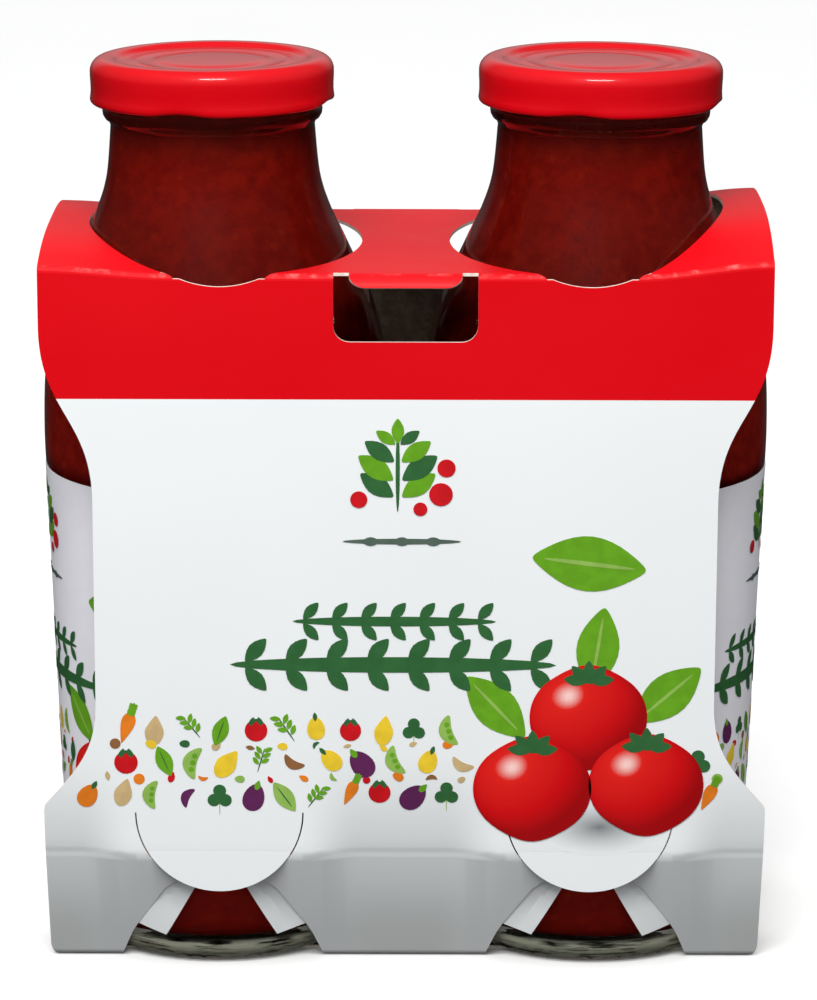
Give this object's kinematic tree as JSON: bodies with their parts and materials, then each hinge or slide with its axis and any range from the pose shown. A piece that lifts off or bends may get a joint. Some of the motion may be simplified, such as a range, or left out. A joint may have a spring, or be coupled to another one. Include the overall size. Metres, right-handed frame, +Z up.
{
  "type": "passata bottle twin pack",
  "caption": "Clear glass passata bottles with red twist-off lids and paper labels, held by the neck and heel in a folded card carrier with finger slots under its top.",
  "frame": {"origin": "middle of the pack on the surface it stands on, under the carton's bottom panel", "axes": "+Z up, X from bottle to bottle, -Y towards the front of the pack"},
  "size_m": [0.1392, 0.0722, 0.1713],
  "materials": {
    "card": "coated folding boxboard, red above and white below, grey-brown inside",
    "glass": "clear flint glass",
    "passata": "wet, thick, dark red sauce",
    "label_paper": "white coated paper",
    "red_lacquer": "glossy red lacquer on tinplate"
  },
  "bodies": {
    "root": {"carrier_carton": "card", "bottle_left": "glass", "bottle_right": "glass", "passata_left": "passata", "passata_right": "passata", "label_left": "label_paper", "label_right": "label_paper", "lid_left": "red_lacquer", "lid_right": "red_lacquer"}
  },
  "joints": []
}
